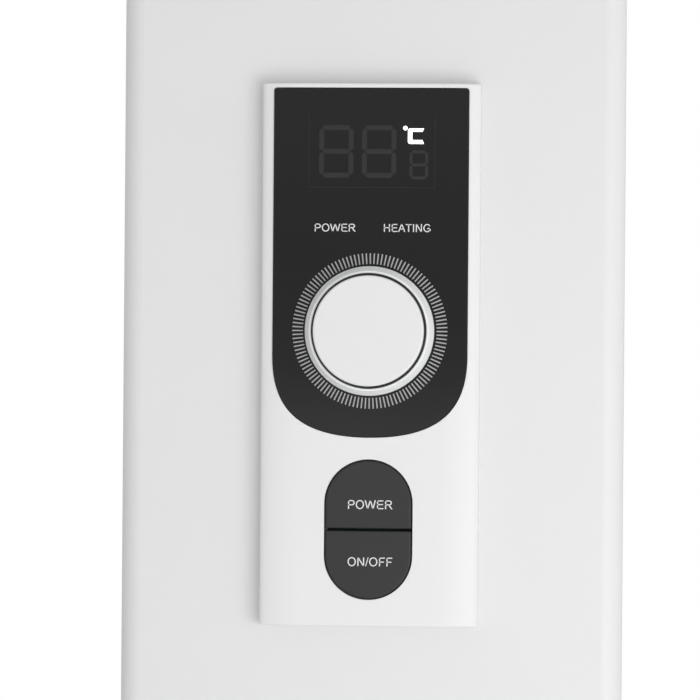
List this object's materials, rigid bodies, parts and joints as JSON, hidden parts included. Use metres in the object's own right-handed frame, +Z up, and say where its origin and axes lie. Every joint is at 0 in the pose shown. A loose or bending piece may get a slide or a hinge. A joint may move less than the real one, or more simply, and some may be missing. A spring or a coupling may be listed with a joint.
{
  "type": "oil filled radiator heater",
  "caption": "Free-standing oil filled column radiator on swivel casters, with a raised digital control panel, turning knob and push buttons on a flat front cover",
  "frame": {"origin": "on the floor under the middle of the bounding box", "axes": "+Z up; the flat front cover and its control panel face -Y; the fins stack along +Y; +X is to the right of someone facing the panel"},
  "size_m": [0.27, 0.4374, 0.682],
  "materials": {
    "enamel_white": "smooth baked white enamel, semi-gloss",
    "cover_white": "smooth satin white moulded plastic",
    "panel_white": "glossy white moulded plastic",
    "knob_white": "white moulded plastic, soft gloss on the face",
    "knob_grey": "pearl grey painted plastic ring",
    "panel_glass": "near black glossy tinted window",
    "button_grey": "dark grey satin plastic with pale printed words",
    "black_plastic": "black moulded plastic, fine texture",
    "wheel_black": "black hard plastic wheel",
    "zinc_steel": "bright zinc plated steel",
    "strap_steel": "white powder coated steel",
    "circuit_board": "green solder mask on glass fibre",
    "display_black": "black display housing with smoky bars",
    "relay_blue": "blue relay case",
    "transformer_yellow": "taped winding on a laminated core",
    "brass_fitting": "machined brass",
    "element_steel": "stainless steel tube, heat tinted",
    "shaft_aluminium": "turned aluminium"
  },
  "bodies": {
    "radiator": {"cable_gland": "black_plastic", "carry_handle": "black_plastic", "case_screws": "zinc_steel", "caster_stems": "zinc_steel", "control_bezel": "panel_white", "control_board": "circuit_board", "cord_hooks": "black_plastic", "display_glass": "panel_glass", "display_module": "display_black", "element_head": "brass_fitting", "element_terminals": "brass_fitting", "encoder_body": "black_plastic", "filler_plug": "brass_fitting", "fin_1": "enamel_white", "fin_2": "enamel_white", "fin_3": "enamel_white", "fin_4": "enamel_white", "fin_5": "enamel_white", "fin_6": "enamel_white", "fin_7": "enamel_white", "front_cover": "cover_white", "front_strap": "strap_steel", "heat_shield": "zinc_steel", "heating_element": "element_steel", "hub_end_caps": "enamel_white", "overheat_cutout": "zinc_steel", "panel_screws": "zinc_steel", "power_board": "circuit_board", "rear_housing": "cover_white", "rear_strap": "strap_steel", "relays": "relay_blue", "room_sensor": "black_plastic", "shield_nuts": "zinc_steel", "switch_bodies": "zinc_steel", "terminal_block": "black_plastic", "tip_switch_body": "black_plastic", "transformer": "transformer_yellow", "u_bolts": "zinc_steel", "wing_nuts": "zinc_steel"},
    "knob": {"knob_ring": "knob_grey", "knob_core": "black_plastic", "knob_cap": "knob_white", "encoder_shaft": "shaft_aluminium"},
    "power_key": {"power_button": "button_grey", "power_plunger": "black_plastic"},
    "onoff_key": {"onoff_button": "button_grey", "onoff_plunger": "black_plastic"},
    "tip_weight": {"tip_pendulum": "zinc_steel"},
    "swivel_front_left": {"caster_fork_front_left": "black_plastic", "wheel_axle_front_left": "zinc_steel"},
    "wheel_front_left": {"caster_wheel_front_left": "wheel_black"},
    "swivel_front_right": {"caster_fork_front_right": "black_plastic", "wheel_axle_front_right": "zinc_steel"},
    "wheel_front_right": {"caster_wheel_front_right": "wheel_black"},
    "swivel_rear_left": {"caster_fork_rear_left": "black_plastic", "wheel_axle_rear_left": "zinc_steel"},
    "wheel_rear_left": {"caster_wheel_rear_left": "wheel_black"},
    "swivel_rear_right": {"caster_fork_rear_right": "black_plastic", "wheel_axle_rear_right": "zinc_steel"},
    "wheel_rear_right": {"caster_wheel_rear_right": "wheel_black"}
  },
  "joints": [
    {"name": "knob_turn", "type": "hinge", "parent": "radiator", "child": "knob", "pos_m": [0, -0.2081, 0.4842], "axis": [0, 1, 0], "continuous": true},
    {"name": "power_press", "type": "slide", "parent": "radiator", "child": "power_key", "axis": [0, 1, 0], "range_m": [0, 0.001], "stiffness_N_per_m": 800, "springref_m": -0.0008},
    {"name": "onoff_press", "type": "slide", "parent": "radiator", "child": "onoff_key", "axis": [0, 1, 0], "range_m": [0, 0.001], "stiffness_N_per_m": 800, "springref_m": -0.0008},
    {"name": "tip_swing", "type": "hinge", "parent": "radiator", "child": "tip_weight", "pos_m": [0.048, -0.1393, 0.1249], "axis": [0, 1, 0], "range_deg": [-25, 25]},
    {"name": "swivel_turn_front_left", "type": "hinge", "parent": "radiator", "child": "swivel_front_left", "pos_m": [-0.118, -0.0573, 0.057], "axis": [0, 0, 1], "continuous": true},
    {"name": "wheel_roll_front_left", "type": "hinge", "parent": "swivel_front_left", "child": "wheel_front_left", "pos_m": [-0.118, -0.0393, 0.023], "axis": [1, 0, 0], "continuous": true},
    {"name": "swivel_turn_front_right", "type": "hinge", "parent": "radiator", "child": "swivel_front_right", "pos_m": [0.118, -0.0573, 0.057], "axis": [0, 0, 1], "continuous": true},
    {"name": "wheel_roll_front_right", "type": "hinge", "parent": "swivel_front_right", "child": "wheel_front_right", "pos_m": [0.118, -0.0393, 0.023], "axis": [1, 0, 0], "continuous": true},
    {"name": "swivel_turn_rear_left", "type": "hinge", "parent": "radiator", "child": "swivel_rear_left", "pos_m": [-0.118, 0.1427, 0.057], "axis": [0, 0, 1], "continuous": true},
    {"name": "wheel_roll_rear_left", "type": "hinge", "parent": "swivel_rear_left", "child": "wheel_rear_left", "pos_m": [-0.118, 0.1607, 0.023], "axis": [1, 0, 0], "continuous": true},
    {"name": "swivel_turn_rear_right", "type": "hinge", "parent": "radiator", "child": "swivel_rear_right", "pos_m": [0.118, 0.1427, 0.057], "axis": [0, 0, 1], "continuous": true},
    {"name": "wheel_roll_rear_right", "type": "hinge", "parent": "swivel_rear_right", "child": "wheel_rear_right", "pos_m": [0.118, 0.1607, 0.023], "axis": [1, 0, 0], "continuous": true}
  ]
}
